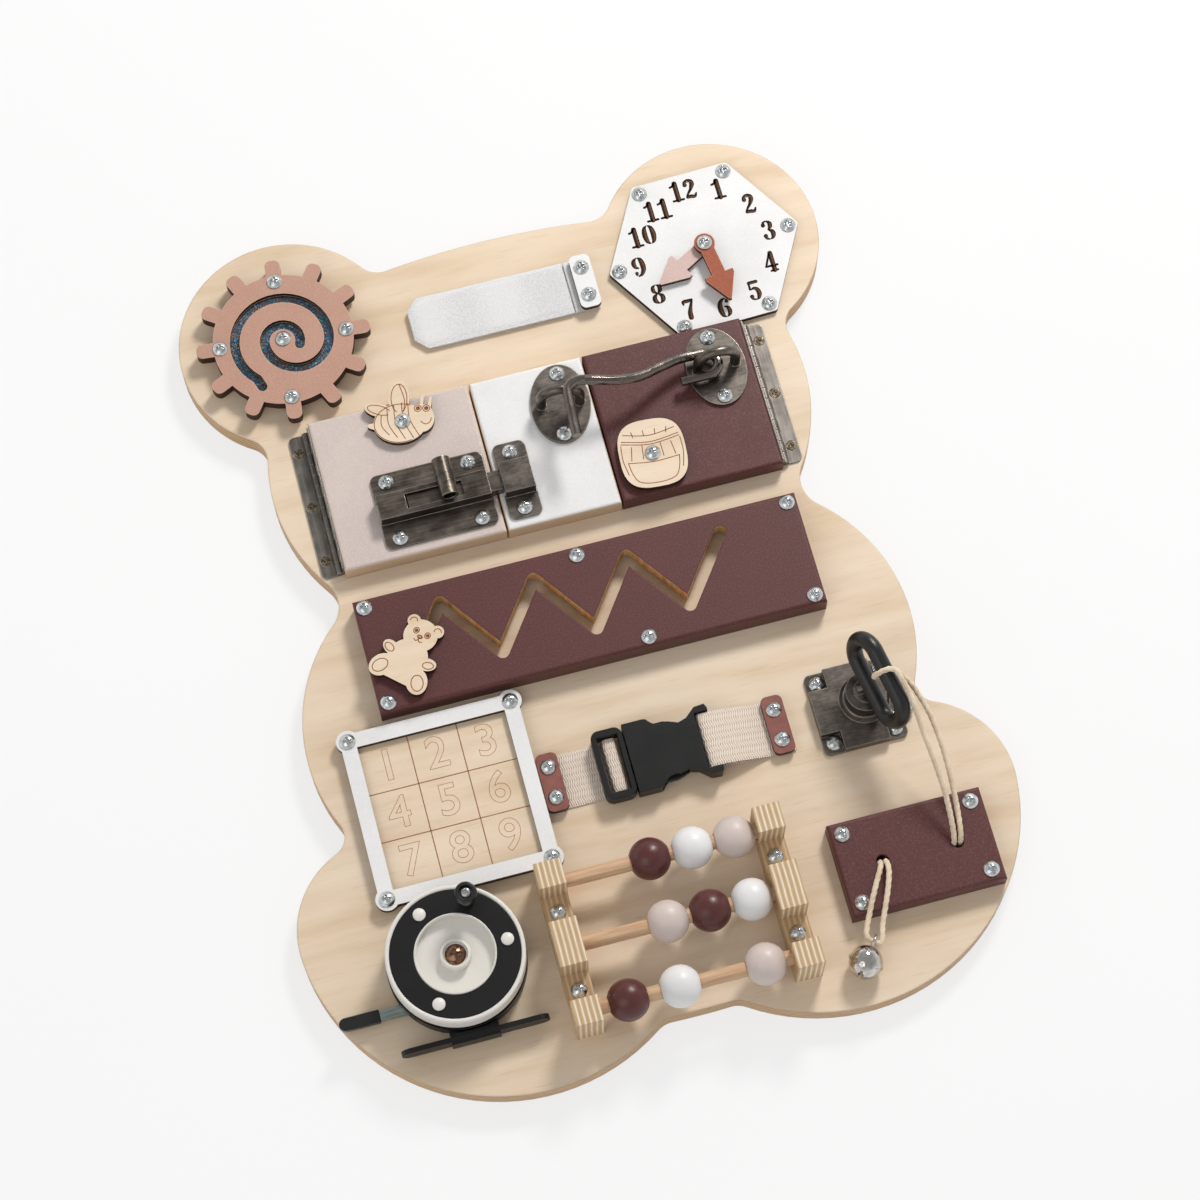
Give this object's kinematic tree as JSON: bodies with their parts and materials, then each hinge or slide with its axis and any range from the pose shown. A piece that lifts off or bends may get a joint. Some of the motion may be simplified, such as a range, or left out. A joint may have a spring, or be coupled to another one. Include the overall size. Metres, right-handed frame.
{
  "type": "wooden busy board",
  "caption": "Bear-shaped plywood busy board with latched doors, spiral gear, clock, zigzag slider, bead rows, crank reel, key lock, side-release buckle and bell.",
  "frame": {"origin": "middle of the bear outline on the back face of the board, which lies on its back", "axes": "+X to the right as seen from the front, +Y towards the ears, +Z out of the front face"},
  "size_m": [0.3474, 0.45, 0.0611],
  "materials": {
    "birch_ply": "light birch plywood under clear oil, engraved lines scorched brown",
    "white_paint": "satin white paint on plywood",
    "maroon_paint": "satin maroon-brown paint on plywood",
    "pink_paint": "satin pale pink paint",
    "rose_paint": "satin dusty rose paint on plywood",
    "rust_paint": "satin rust-brown paint on plywood",
    "dark_nickel": "antique nickel plating, worn",
    "zinc": "bright zinc plating",
    "black_plastic": "moulded black plastic",
    "white_plastic": "moulded white plastic",
    "webbing": "woven cream cotton webbing",
    "white_tape": "white woven touch-fastener tape",
    "cord": "braided cream cotton cord",
    "bell_chrome": "polished chrome",
    "clear_window": "clear film",
    "glitter": "iridescent glitter beads"
  },
  "bodies": {
    "board": {"board": "birch_ply", "board_screws": "zinc", "clock_face": "white_paint", "fastener_strip": "white_tape", "strap_clamps": "rust_paint", "centre_block": "white_paint", "hinge_board_leaves": "dark_nickel", "latch_catches": "dark_nickel", "zigzag_panel": "maroon_paint", "number_frame": "white_paint", "number_sheet": "birch_ply", "webbing_left": "webbing", "webbing_right": "webbing", "lock_case": "dark_nickel", "cord_plate": "maroon_paint", "abacus_frame": "birch_ply", "reel_frame": "black_plastic", "bell_cord": "cord", "bell": "bell_chrome", "key_cord": "cord"},
    "gear": {"gear_front": "rose_paint", "gear_back": "rose_paint", "gear_window": "clear_window", "gear_beads": "glitter", "gear_screws": "zinc"},
    "hour_hand": {"hour_hand": "pink_paint"},
    "minute_hand": {"minute_hand": "rust_paint"},
    "strap_flap": {"strap_flap": "white_tape"},
    "left_door": {"left_door": "pink_paint", "left_door_leaf": "dark_nickel", "bolt_housing": "dark_nickel", "left_door_screws": "zinc"},
    "bee": {"bee": "birch_ply"},
    "slide_bolt": {"slide_bolt": "dark_nickel"},
    "right_door": {"right_door": "maroon_paint", "right_door_leaf": "dark_nickel", "hook_plate": "dark_nickel", "right_door_screws": "zinc"},
    "barrel": {"barrel": "birch_ply"},
    "hook_rod": {"hook_rod": "dark_nickel"},
    "teddy_slider": {"teddy_slider": "birch_ply"},
    "reel_spool": {"reel_spool": "white_plastic", "reel_ring": "black_plastic"},
    "reel_knob": {"reel_knob": "black_plastic"},
    "reel_lever": {"reel_lever": "black_plastic"},
    "bead_row_1": {"row_1_maroon": "maroon_paint", "row_1_white": "white_paint", "row_1_pink": "pink_paint"},
    "bead_row_2": {"row_2_maroon": "maroon_paint", "row_2_white": "white_paint", "row_2_pink": "pink_paint"},
    "row_3_maroon": {"row_3_maroon": "maroon_paint"},
    "row_3_white": {"row_3_white": "white_paint"},
    "row_3_pink": {"row_3_pink": "pink_paint"},
    "buckle_male": {"buckle_male": "black_plastic"},
    "prong_upper": {"prong_upper": "black_plastic"},
    "prong_lower": {"prong_lower": "black_plastic"},
    "buckle_female": {"buckle_female": "black_plastic"},
    "key": {"key": "black_plastic"},
    "lock_bolt": {"lock_bolt": "zinc"}
  },
  "joints": [
    {"name": "gear_turn", "type": "hinge", "parent": "board", "child": "gear", "pos_m": [-0.1106, 0.1696, 0.018], "axis": [0, 0, 1], "continuous": true},
    {"name": "hour_hand_turn", "type": "hinge", "parent": "board", "child": "hour_hand", "pos_m": [0.104, 0.1661, 0.017], "axis": [0, 0, 1], "continuous": true},
    {"name": "minute_hand_turn", "type": "hinge", "parent": "board", "child": "minute_hand", "pos_m": [0.104, 0.1661, 0.02], "axis": [0, 0, 1], "continuous": true},
    {"name": "strap_lift", "type": "hinge", "parent": "board", "child": "strap_flap", "pos_m": [0.03315, 0.1629, 0.01525], "axis": [0, 1, 0], "range_deg": [0, 120]},
    {"name": "left_door_swing", "type": "hinge", "parent": "board", "child": "left_door", "pos_m": [-0.11165, 0.0822, 0.014], "axis": [0, -1, 0], "range_deg": [0, 105]},
    {"name": "right_door_swing", "type": "hinge", "parent": "board", "child": "right_door", "pos_m": [0.11165, 0.0822, 0.014], "axis": [0, 1, 0], "range_deg": [0, 105]},
    {"name": "bee_turn", "type": "hinge", "parent": "left_door", "child": "bee", "pos_m": [-0.0642, 0.1097, 0.024], "axis": [0, 0, 1], "continuous": true},
    {"name": "barrel_turn", "type": "hinge", "parent": "right_door", "child": "barrel", "pos_m": [0.049, 0.062, 0.024], "axis": [0, 0, 1], "continuous": true},
    {"name": "bolt_slide", "type": "slide", "parent": "left_door", "child": "slide_bolt", "axis": [1, 0, 0], "range_m": [-0.018, 0.0045]},
    {"name": "hook_swing", "type": "hinge", "parent": "right_door", "child": "hook_rod", "pos_m": [0.0819, 0.099, 0.0295], "axis": [0, 0, 1], "range_deg": [-75, 0]},
    {"name": "teddy_slide", "type": "slide", "parent": "board", "child": "teddy_slider", "axis": [0.5505, 0.8348, 0], "range_m": [0, 0.035]},
    {"name": "reel_turn", "type": "hinge", "parent": "board", "child": "reel_spool", "pos_m": [-0.1042, -0.1572, 0.022], "axis": [0, 0, 1], "continuous": true},
    {"name": "crank_knob_turn", "type": "hinge", "parent": "reel_spool", "child": "reel_knob", "pos_m": [-0.09305, -0.13483, 0.042], "axis": [0, 0, 1], "continuous": true},
    {"name": "click_lever_tilt", "type": "hinge", "parent": "board", "child": "reel_lever", "pos_m": [-0.1192, -0.1727, 0.018], "axis": [0, 0, 1], "range_deg": [-8, 8]},
    {"name": "bead_row_1_slide", "type": "slide", "parent": "board", "child": "bead_row_1", "axis": [1, 0, 0], "range_m": [-0.031, 0.0009]},
    {"name": "bead_row_2_slide", "type": "slide", "parent": "board", "child": "bead_row_2", "axis": [1, 0, 0], "range_m": [-0.031, 0.0009]},
    {"name": "row_3_maroon_slide", "type": "slide", "parent": "board", "child": "row_3_maroon", "axis": [1, 0, 0], "range_m": [-0.004, 0.003]},
    {"name": "row_3_white_slide", "type": "slide", "parent": "board", "child": "row_3_white", "axis": [1, 0, 0], "range_m": [-0.003, 0.011]},
    {"name": "row_3_pink_slide", "type": "slide", "parent": "board", "child": "row_3_pink", "axis": [1, 0, 0], "range_m": [-0.011, 0.0034]},
    {"name": "buckle_male_slide", "type": "slide", "parent": "board", "child": "buckle_male", "axis": [1, 0, 0], "range_m": [-0.012, 0], "deforming": ["webbing_left"]},
    {"name": "prong_upper_spring", "type": "hinge", "parent": "buckle_male", "child": "prong_upper", "pos_m": [0.0012, -0.074, 0.018], "axis": [0, 0, 1], "range_deg": [0, 7], "stiffness_Nm_per_rad": 0.0005, "springref_deg": 6.88},
    {"name": "prong_lower_spring", "type": "hinge", "parent": "buckle_male", "child": "prong_lower", "pos_m": [0.0012, -0.094, 0.018], "axis": [0, 0, -1], "range_deg": [0, 7], "stiffness_Nm_per_rad": 0.0005, "springref_deg": 6.88},
    {"name": "buckle_female_slide", "type": "slide", "parent": "board", "child": "buckle_female", "axis": [-1, 0, 0], "range_m": [-0.012, 0], "deforming": ["webbing_right"]},
    {"name": "key_turn", "type": "hinge", "parent": "board", "child": "key", "pos_m": [0.1139, -0.0828, 0.028], "axis": [0, 0, 1], "range_deg": [0, 180], "deforming": ["key_cord"]},
    {"name": "lock_bolt_slide", "type": "slide", "parent": "board", "child": "lock_bolt", "axis": [1, 0, 0], "range_m": [-0.005, 0]}
  ],
  "couplings": [
    {"joint": "lock_bolt_slide", "follows": "key_turn", "m_per_rad": -0.00159}
  ]
}
